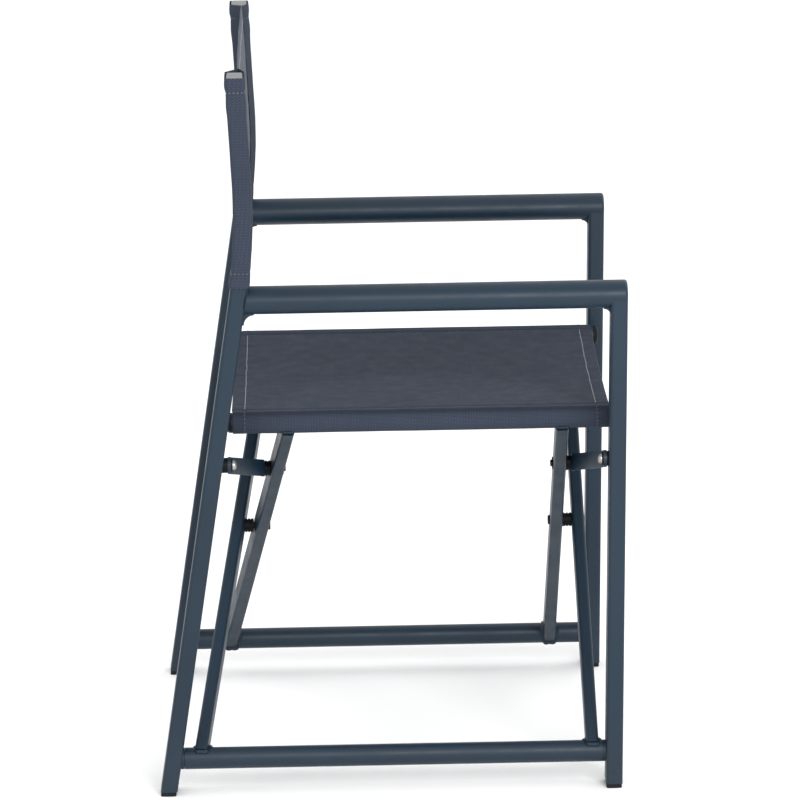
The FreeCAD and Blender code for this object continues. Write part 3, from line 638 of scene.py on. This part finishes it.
def bead_ring(name, path, up, radius):
    """Rough weld bead along a closed line round a tube whose axis is given."""
    count, sides = len(path), BEAD_SIDES
    often_along, often_round = LUMPS_OFTEN
    centre = sum(path, Vector()) / count
    points, faces = [], []
    for i, place in enumerate(path):
        out = place - centre
        out = (out - up * out.dot(up)).normalized()
        uneven = BEAD_UNEVEN * math.sin(i * BEAD_UNEVEN_TURN)
        size = radius * (1 + uneven + FLARE * abs(out.y) ** 3)
        for k in range(sides):
            turn = 2 * math.pi * k / sides
            across, along_tube = math.cos(turn), math.sin(turn)
            section = (abs(across) ** BEAD_HOLLOW + abs(along_tube) ** BEAD_HOLLOW) ** (-1 / BEAD_HOLLOW)
            lump = 1 + BEAD_LUMPS * waver(i * often_along, k * often_round, radius * LUMPS_BY_SIZE)
            points.append(place + (out * across + up * along_tube) * size * section * lump)
    for i in range(count):
        for k in range(sides):
            a, b = i * sides + k, i * sides + (k + 1) % sides
            c, d = ((i + 1) % count) * sides + (k + 1) % sides, ((i + 1) % count) * sides + k
            faces.append((a, b, c, d))
    return new_object(name, points, faces)


def bar_outline():
    """Outline of a bar about its middle, as (across, side) points."""
    across, side = BAR_WIDE / 2 - BAR_EDGE, BAR_DEEP / 2 - BAR_EDGE
    corners = ((across, side, 0), (-across, side, 90), (-across, -side, 180), (across, -side, 270))
    path = []
    for a, s, start in corners:
        for turn in spread(math.radians(start), math.radians(start + 90), EDGE_POINTS):
            path.append((a + BAR_EDGE * math.cos(turn), s + BAR_EDGE * math.sin(turn)))
    return fill_in(path + path[:1], BEAD_STEP)[:-1]


def reach_to(start, way, rail, radius):
    """Distance along a way to the surface of a rail that runs along Y, or to its nearest point."""
    across_x, across_z = start.x - rail.x, start.z - rail.z
    a = way.x ** 2 + way.z ** 2
    b = 2 * (across_x * way.x + across_z * way.z)
    c = across_x ** 2 + across_z ** 2 - radius ** 2
    inside = b * b - 4 * a * c
    return (-b + math.sqrt(max(0.0, inside))) / (2 * a)


def bar_weld(name, end, way, rail, radius, bead):
    """Bead where a bar's outline meets a rail. The way runs from the rail into the bar."""
    across = ALONG_RAIL.cross(way).normalized()
    side = way.cross(across)
    ring = []
    for a, s in bar_outline():
        start = end + across * a + side * s
        ring.append(start + way * reach_to(start, way, rail, radius))
    return bead_ring(name, ring, way, bead)


def bar_welds(word, letter, low_side, high_side):
    """Beads at the lower and upper end of one bar."""
    bar = word + "_bar_" + letter
    low_rail, high_rail = middle(low_side + "_bottom_rail"), middle(high_side + "_seat_rail")
    low = Vector((low_rail.x, end_y(bar, at_top=False), low_rail.z))
    high = Vector((high_rail.x, end_y(bar, at_top=True), high_rail.z))
    way = (high - low).normalized()
    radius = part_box(low_side + "_bottom_rail")[1].z - low_rail.z
    return [bar_weld(bar + "_low_weld", low, way, low_rail, radius, LOW_BEAD),
            bar_weld(bar + "_high_weld", high, -way, high_rail, RAIL_R, HIGH_BEAD)]


def armrest_weld(side_name):
    """Bead where an armrest meets the front face of its back post."""
    arm_low, arm_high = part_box(side_name + "_armrest")
    half_wide, half_high = min((arm_high.x - arm_low.x) / 2, POST_HALF), ARM_HIGH / 2
    ring = []
    for angle in spread(0, 2 * math.pi, ARM_POINTS + 1)[:-1]:
        x = middle(side_name + "_armrest").x + half_wide * math.cos(angle)
        z = arm_high.z - half_high + half_high * math.sin(angle)
        ring.append(Vector((x, post_faces(z)[0], z)))
    return bead_ring(side_name + "_armrest_weld", ring, ALONG_RAIL, ARM_BEAD)


def build_welds():
    """All weld beads, each with the body that carries it."""
    beads = []
    for word in ("rear", "front"):
        beads += [(bead, "cross_a") for bead in bar_welds(word, "a", "right", "left")]
        beads += [(bead, "cross_b") for bead in bar_welds(word, "b", "left", "right")]
    return beads + [(armrest_weld(name), name + "_frame") for name in SIDES]


# ---------------------------------------------------------------- materials

ONE_STRIPE = math.pi / 10   # scale at which Blender's wave texture has one stripe per unit


class Shader:
    """A material under construction."""

    def __init__(self, name):
        self.material = bpy.data.materials.new(name)
        self.material.use_nodes = True
        self.nodes = self.material.node_tree.nodes
        self.links = self.material.node_tree.links
        self.surface = self.nodes["Principled BSDF"]
        places = self.nodes.new("ShaderNodeTexCoord")
        self.object_place = places.outputs["Object"]
        self.cloth_place = places.outputs["UV"]

    def put(self, socket, value):
        """Set a socket, or link it when the value comes from another node."""
        if isinstance(value, bpy.types.NodeSocket):
            self.links.new(value, socket)
        else:
            socket.default_value = value

    def scaled(self, place, size):
        """Coordinates measured in units of a size, which may differ by axis."""
        sizes = size if isinstance(size, tuple) else (size,) * 3
        node = self.nodes.new("ShaderNodeMapping")
        self.put(node.inputs["Vector"], place)
        node.inputs["Scale"].default_value = tuple(1 / s for s in sizes)
        return node.outputs["Vector"]

    def noise(self, place, size, detail=3.0, rough=0.5):
        node = self.nodes.new("ShaderNodeTexNoise")
        self.put(node.inputs["Vector"], self.scaled(place, size))
        node.inputs["Scale"].default_value = 1.0
        node.inputs["Detail"].default_value = detail
        node.inputs["Roughness"].default_value = rough
        return node.outputs["Fac"]

    def wave(self, place, size, way):
        """Stripes a given distance apart along one axis. Diagonal ones repeat every two sizes."""
        node = self.nodes.new("ShaderNodeTexWave")
        node.bands_direction = way
        self.put(node.inputs["Vector"], self.scaled(place, size))
        node.inputs["Scale"].default_value = ONE_STRIPE
        return node.outputs["Fac"]

    def math(self, operation, a, b=0.0):
        node = self.nodes.new("ShaderNodeMath")
        node.operation = operation
        self.put(node.inputs[0], a)
        self.put(node.inputs[1], b)
        return node.outputs[0]

    def ramp(self, value, low, high, at=(0.0, 1.0)):
        """Blend of two colours, or of two numbers as greys, over a span of a value."""
        node = self.nodes.new("ShaderNodeValToRGB")
        self.put(node.inputs["Fac"], value)
        for element, place, colour in zip(node.color_ramp.elements, at, (low, high)):
            element.position = place
            shade = colour if isinstance(colour, tuple) else (colour,) * 3
            element.color = (*shade, 1.0)
        return node.outputs["Color"]

    def mix(self, factor, a, b):
        """Blend of two colours."""
        node = self.nodes.new("ShaderNodeMix")
        node.data_type = "RGBA"
        self.put(node.inputs[0], factor)
        # its colour sockets are the inputs 6 and 7 and the output 2
        for socket, value in ((node.inputs[6], a), (node.inputs[7], b)):
            self.put(socket, (*value, 1.0) if isinstance(value, tuple) else value)
        return node.outputs[2]

    def axis(self, place, letter):
        """One coordinate of a place. Z of the object's own place is the height above the floor."""
        node = self.nodes.new("ShaderNodeSeparateXYZ")
        self.put(node.inputs[0], place)
        return node.outputs[letter]

    def bump(self, value, depth, strength=1.0):
        node = self.nodes.new("ShaderNodeBump")
        node.inputs["Strength"].default_value = strength
        node.inputs["Distance"].default_value = depth
        self.put(node.inputs["Height"], value)
        if self.surface.inputs["Normal"].is_linked:
            self.put(node.inputs["Normal"], self.surface.inputs["Normal"].links[0].from_socket)
        self.put(self.surface.inputs["Normal"], node.outputs["Normal"])

    def finish(self, colour, roughness, **constants):
        self.put(self.surface.inputs["Base Color"], colour)
        self.put(self.surface.inputs["Roughness"], roughness)
        for name, value in constants.items():
            self.surface.inputs[name.replace("_", " ")].default_value = value
        return self.material


def tint(colour, share):
    """A colour made lighter or darker."""
    return tuple(c * share for c in colour)


PAINT = (0.0062, 0.0185, 0.0335)
SPATTER = 1.2 * MM


def frame_paint(name, spatter=0.0):
    """Satin powder coat: fine orange peel, faint clouding, worn lighter spots and dust near the floor.

    spatter is the depth of the grains under the paint of a weld.
    """
    s = Shader(name)
    place = s.object_place
    clouds = s.noise(place, 0.16, 4.0)
    colour = s.ramp(clouds, tint(PAINT, 0.9), tint(PAINT, 1.1), (0.3, 0.7))
    specks = s.noise(place, 0.8 * MM, 1.0)
    colour = s.mix(s.ramp(specks, 0.0, 0.35, (0.62, 0.78)), colour, tint(PAINT, 1.7))
    tone_mask = s.math("MULTIPLY", s.noise(place, 6 * MM, 6.0, 0.7), s.noise(place, 55 * MM, 2.0))
    colour = s.mix(s.ramp(tone_mask, 0.0, 0.3, (0.36, 0.5)), colour, tint(PAINT, 2.1))
    low = s.ramp(s.axis(place, "Z"), 0.12, 0.0, (0.0, 0.12))
    dust = s.math("MULTIPLY", low, s.noise(place, 9 * MM, 5.0, 0.65))
    colour = s.mix(dust, colour, (0.10, 0.105, 0.11))
    roughness = s.ramp(s.noise(place, 30 * MM, 3.0), 0.38, 0.5, (0.3, 0.7))
    s.bump(s.noise(place, 1.1 * MM, 2.0), 0.06 * MM, 0.5)
    s.bump(s.noise(place, 7 * MM, 2.0), 0.08 * MM, 0.3)
    if spatter:
        s.bump(s.noise(place, 1.8 * MM, 3.0, 0.7), spatter)
    return s.finish(colour, roughness, Specular_IOR_Level=0.3)


CLOTH_DARK = (0.0055, 0.0072, 0.0125)
CLOTH_LIGHT = (0.0505, 0.062, 0.089)
WEAVE = 1.3 * MM            # distance between two threads
RIBS = (-2.3 * MM, 1.6 * MM, 1.0)   # steps of the diagonal ribs over and up the cloth
RIB_BREAK = 3.4 * MM
SLUB_LONG = 40 * MM
SLUB_WIDE = 1.6 * MM


def sling_fabric(name, shine=0.05, marks_and_shade=None):
    """Coated open weave: thread crossings in diagonal ribs, slubs along the threads, and soft worn patches.

    shine is higher where the coating is still smooth, as on the back. The last argument adds painted
    shade and other marks to the colour.
    """
    s = Shader(name)
    place = s.cloth_place
    weave = s.math("MULTIPLY", s.wave(place, WEAVE, "X"), s.wave(place, WEAVE, "Y"))
    ribs = s.wave(place, RIBS, "DIAGONAL")
    twill = s.math("MULTIPLY", ribs, s.ramp(s.wave(place, RIB_BREAK, "Y"), 0.45, 1.0))
    slub_x = s.noise(place, (SLUB_LONG, SLUB_WIDE, 1.0), 4.0)
    slub_y = s.noise(place, (SLUB_WIDE, SLUB_LONG, 1.0), 4.0)
    slubs = s.math("ADD", slub_x, slub_y)
    colour = s.ramp(weave, CLOTH_DARK, CLOTH_LIGHT, (0.0, 0.9))
    colour = s.mix(s.math("MULTIPLY", twill, 0.8), colour, tint(CLOTH_LIGHT, 1.15))
    colour = s.mix(s.ramp(slubs, 0.0, 0.25, (0.45, 0.62)), colour, CLOTH_LIGHT)
    patches = s.noise(place, 0.11, 4.0, 0.55)
    colour = s.mix(s.ramp(patches, 0.0, 0.4, (0.42, 0.7)), colour, tint(CLOTH_LIGHT, 0.5))
    if marks_and_shade:
        colour = marks_and_shade(s, colour)
    s.bump(weave, 0.25 * MM, 0.6)
    s.bump(slubs, 0.12 * MM, 0.4)
    roughness = s.ramp(s.noise(place, 20 * MM, 3.0), 0.62, 0.78, (0.3, 0.7))
    return s.finish(colour, roughness, Sheen_Weight=0.01, Sheen_Roughness=0.5,
                    Specular_IOR_Level=shine, Specular_Tint=(0.8, 0.86, 1.0, 1.0))


def seat_shade_and_creases(s, colour):
    """Painted shade as a dark line along the upper outer side of the right rail and darker cloth outside an
    oval about it, and lighter lines along the creases at the two edges.
    """
    across, along_seat = s.axis(s.cloth_place, "X"), s.axis(s.cloth_place, "Y")
    rail = top_of_rail()
    middle_x, middle_y = rail + RAIL_X, SEAT_HEM + (SEAT_BACK - SEAT_FRONT) / 2

    # painted shade of the seat's soft folds: the cloth is darker outside an oval
    sag_shade_x = s.math("DIVIDE", s.math("SUBTRACT", across, rail + SHADE_FROM_TOP), SAG_SHADE_ACROSS)
    sag_shade_y = s.math("DIVIDE", s.math("SUBTRACT", along_seat, middle_y), SAG_SHADE_ALONG)
    out = s.math("ADD", s.math("MULTIPLY", sag_shade_x, sag_shade_x), s.math("MULTIPLY", sag_shade_y, sag_shade_y))
    colour = s.mix(s.ramp(out, 0.0, 0.2, (0.6, 1.0)), colour, CLOTH_DARK)

    # painted shade: a dark line where the right sleeve turns from its lit outer side up to its top
    from_line = s.math("ABSOLUTE", s.math("SUBTRACT", across, rail - SHADE_FROM_TOP))
    tone_mask = s.ramp(s.math("DIVIDE", from_line, RAIL_SHADE_WIDE), 0.4, 0.0, (0.35, 1.0))
    colour = s.mix(tone_mask, colour, CLOTH_DARK)

    # a lighter line along the middle of each crease
    from_crease = s.math("ABSOLUTE", s.math("SUBTRACT", across, middle_x))
    crease = s.ramp(s.math("DIVIDE", from_crease, CREASE_LINE_WIDE), 0.7, 0.0, (0.3, 1.0))
    from_middle = s.math("ABSOLUTE", s.math("SUBTRACT", along_seat, middle_y))
    ends = s.math("DIVIDE", s.math("SUBTRACT", middle_y, from_middle), SEAT_HEM + CREASE_LONG)
    crease = s.math("MULTIPLY", crease, s.ramp(ends, 1.0, 0.0, (0.3, 1.0)))
    return s.mix(crease, colour, tint(CLOTH_LIGHT, 2.6))


LIGHT_THREAD = (0.20, 0.21, 0.245)
SLATE_THREAD = (0.20, 0.21, 0.25)
DULL_SLATE_THREAD = tint(SLATE_THREAD, 0.45)
NAVY_THREAD = (0.03, 0.038, 0.065)


def thread(name, colour):
    """Twisted sewing thread."""
    s = Shader(name)
    place = s.object_place
    twist = s.wave(place, 0.5 * MM, "DIAGONAL")
    fuzz = s.noise(place, 0.4 * MM, 3.0)
    shade = s.ramp(s.math("MULTIPLY", twist, fuzz), tint(colour, 0.6), tint(colour, 1.25), (0.1, 0.6))
    s.bump(twist, 0.08 * MM, 0.6)
    return s.finish(shade, 0.6, Sheen_Weight=0.2)


def black_plastic():
    """Moulded black plastic, finely grained, scuffed and a little dusty by the floor."""
    s = Shader("black_plastic")
    place = s.object_place
    grain = s.noise(place, 0.5 * MM, 3.0)
    scuffs = s.noise(place, (2 * MM, 12 * MM, 2 * MM), 6.0, 0.7)
    colour = s.ramp(grain, (0.0025, 0.003, 0.0042), (0.006, 0.0072, 0.0095), (0.3, 0.7))
    colour = s.mix(s.ramp(scuffs, 0.0, 0.25, (0.55, 0.8)), colour, (0.015, 0.017, 0.021))
    low = s.ramp(s.axis(place, "Z"), 0.16, 0.0, (0.0, 0.03))
    colour = s.mix(s.math("MULTIPLY", low, s.noise(place, 4 * MM, 4.0)), colour, (0.09, 0.09, 0.09))
    s.bump(grain, 0.05 * MM, 0.5)
    return s.finish(colour, s.ramp(scuffs, 0.42, 0.6, (0.3, 0.7)), Specular_IOR_Level=0.12)


def grey_plastic():
    """Light grey moulded cap with fine grain and grime in patches."""
    s = Shader("grey_plastic")
    place = s.object_place
    grain = s.noise(place, 0.6 * MM, 3.0)
    grime = s.noise(place, 7 * MM, 5.0, 0.6)
    colour = s.ramp(grain, (0.135, 0.14, 0.15), (0.18, 0.185, 0.19), (0.3, 0.7))
    colour = s.mix(s.ramp(grime, 0.0, 0.45, (0.5, 0.8)), colour, (0.075, 0.078, 0.085))
    s.bump(grain, 0.05 * MM, 0.5)
    return s.finish(colour, s.ramp(grime, 0.4, 0.55, (0.3, 0.7)))


def bright_metal(name, colour, low_rough, high_rough):
    """Plated metal with fine turning marks and dull spots."""
    s = Shader(name)
    place = s.object_place
    marks = s.wave(place, 0.35 * MM, "Y")
    spots = s.noise(place, 2.5 * MM, 5.0, 0.65)
    shade = s.ramp(spots, tint(colour, 0.72), colour, (0.3, 0.6))
    s.bump(marks, 0.02 * MM, 0.35)
    s.bump(s.noise(place, 0.8 * MM, 2.0), 0.03 * MM, 0.4)
    return s.finish(shade, s.ramp(spots, high_rough, low_rough, (0.3, 0.7)), Metallic=1.0)


def floor_paint():
    """Pale matt floor with the faintest mottling."""
    s = Shader("floor_paint")
    place = s.object_place
    mottle = s.noise(place, 0.35, 4.0)
    colour = s.ramp(mottle, (0.95, 0.95, 0.95), (0.97, 0.97, 0.97), (0.3, 0.7))
    s.bump(s.noise(place, 3 * MM, 2.0), 0.05 * MM, 0.2)
    return s.finish(colour, 0.9, Specular_IOR_Level=0.1)


def build_materials():
    return {
        "frame_paint": frame_paint("frame_paint"),
        "weld_paint": frame_paint("weld_paint", SPATTER),
        "sling_fabric": sling_fabric("sling_fabric"),
        "black_plastic": black_plastic(),
        "grey_plastic": grey_plastic(),
        "chrome": bright_metal("chrome", (0.42, 0.41, 0.39), 0.2, 0.42),
        "black_steel": bright_metal("black_steel", (0.035, 0.035, 0.038), 0.38, 0.55),
    }


def paint(obj, material):
    obj.data.materials.clear()
    obj.data.materials.append(material)


# ---------------------------------------------------------------- studio

FLOOR = 30                  # half width
LIT_POINT = Vector((0, 0, 0.4))


def build_floor():
    corners = [(-FLOOR, -FLOOR, 0), (FLOOR, -FLOOR, 0), (FLOOR, FLOOR, 0), (-FLOOR, FLOOR, 0)]
    floor = new_object("floor", corners, [(0, 1, 2, 3)])
    paint(floor, floor_paint())


def soft_light(name, place, size, power):
    light = bpy.data.lights.new(name, "AREA")
    light.shape = "SQUARE"
    light.size = size
    light.energy = power
    lamp = bpy.data.objects.new(name, light)
    bpy.context.collection.objects.link(lamp)
    lamp.location = place
    aim = LIT_POINT - Vector(place)
    lamp.rotation_euler = aim.to_track_quat("-Z", "Y").to_euler()


def build_lights():
    """White surroundings, the strongest soft light on the camera's side, and plain display colours."""
    world = bpy.data.worlds.new("studio")
    world.use_nodes = True
    background = world.node_tree.nodes["Background"]
    background.inputs["Color"].default_value = (1.0, 1.0, 1.0, 1.0)
    background.inputs["Strength"].default_value = 1.1
    bpy.context.scene.world = world
    soft_light("key", (-3.4, -1.0, 2.0), size=1.6, power=95)
    soft_light("fill", (2.4, -2.4, 2.6), size=2.6, power=18)
    soft_light("back", (0.5, 3.2, 2.8), size=2.4, power=18)
    bpy.context.scene.view_settings.view_transform = "Standard"


CAMERA_PLACE = (-6.7458, 0.0809, 1.9986)
CAMERA_TURN = (269.175, 13.2015, -0.8685)       # azimuth, elevation and roll in degrees
CAMERA_LENS = 253.57                            # focal length in millimetres
CAMERA_SENSOR = 36                              # width in millimetres


def build_camera():
    """Long lens from the chair's right side, a little above the armrests."""
    azimuth, elevation, roll = [math.radians(turn) for turn in CAMERA_TURN]
    back = Vector((math.sin(azimuth) * math.cos(elevation),
                   -math.cos(azimuth) * math.cos(elevation), math.sin(elevation)))
    level_right = (-back).cross(UP).normalized()
    level_up = level_right.cross(-back)
    right = level_right * math.cos(roll) + level_up * math.sin(roll)
    up = level_up * math.cos(roll) - level_right * math.sin(roll)
    data = bpy.data.cameras.new("camera")
    data.sensor_width = CAMERA_SENSOR
    data.lens = CAMERA_LENS
    data.clip_end = 100
    camera = bpy.data.objects.new("camera", data)
    bpy.context.collection.objects.link(camera)
    turn = Matrix((right, up, back)).transposed().to_4x4()
    camera.matrix_world = Matrix.Translation(CAMERA_PLACE) @ turn
    bpy.context.scene.camera = camera


# ---------------------------------------------------------------- the whole

def dress_seat():
    """Seat cloth with light stitches along its hems, and navy ones along its seams and round its sleeves."""
    seat = build_seat()
    paint(seat, sling_fabric("seat_fabric", marks_and_shade=seat_shade_and_creases))
    hem_lines = []
    hem_end = SEAT_SEAM_X - HEM_ENDS
    seam_lines = [flat_line(seat_seam(x), UP) for x in (-SEAT_SEAM_X, SEAT_SEAM_X)]
    for y in (SEAT_FRONT + SEAT_HEM, SEAT_BACK - SEAT_HEM):
        hem_lines.append(flat_line(seat_line(y, -hem_end, hem_end), UP))
        seam_lines += [seat_sleeve_line(side, y) for side in (-1, 1)]
    hems = stitch_rows("seat_hem_stitches", hem_lines)
    paint(hems, thread("light_thread", LIGHT_THREAD))
    seams = stitch_rows("seat_seam_stitches", seam_lines)
    paint(seams, thread("navy_thread", NAVY_THREAD))
    for piece in (seat, hems, seams):
        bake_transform(piece)
    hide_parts("seat_sling")


def dress_back_panel():
    """Back panel, carried by the right frame, with twin rows of stitches along its hems."""
    panel = build_panel()
    paint(panel, sling_fabric("back_fabric", shine=0.5))
    lines = []
    for z in (BACK_TOP - BACK_HEM, BACK_LOW + BACK_HEM):
        for offset in (-TWIN_ROWS, TWIN_ROWS):
            lines.append(flat_line(panel_line(z + offset), (0, -1, 0)))
    stitches = stitch_rows("back_hem_stitches", lines)
    paint(stitches, thread("slate_thread", SLATE_THREAD))
    for piece in (panel, stitches):
        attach(piece, "right_frame")
        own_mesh(piece)
    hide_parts("back_sling")


def dress_back_sleeves(material):
    """A sleeve on each back post, with a row of stitches round each hem."""
    for side in SIDES:
        sleeve = build_sleeve(side)
        paint(sleeve, material)
        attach(sleeve, side + "_frame")
        hems = [sleeve_line(side, from_rim) for from_rim in (BACK_HEM, POST_TOP - BACK_LOW - BACK_HEM)]
        sewn = stitch_rows(side + "_sleeve_stitches", hems)
        paint(sewn, thread(side + "_sleeve_thread", DULL_SLATE_THREAD))
        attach(sewn, side + "_frame")
        sleeve_length()


def dress_frame(materials):
    """Materials on every CAD piece, and the weld beads."""
    for part in frame["record"]["subparts"]:
        paint(frame["nodes"][part["node"]], materials[part["material_slot"]])
    for bead, body in build_welds():
        paint(bead, materials["weld_paint"])
        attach(bead, body)


materials = build_materials()
dress_frame(materials)
dress_seat()
dress_back_panel()
dress_back_sleeves(materials["sling_fabric"])
build_floor()
build_lights()
build_camera()
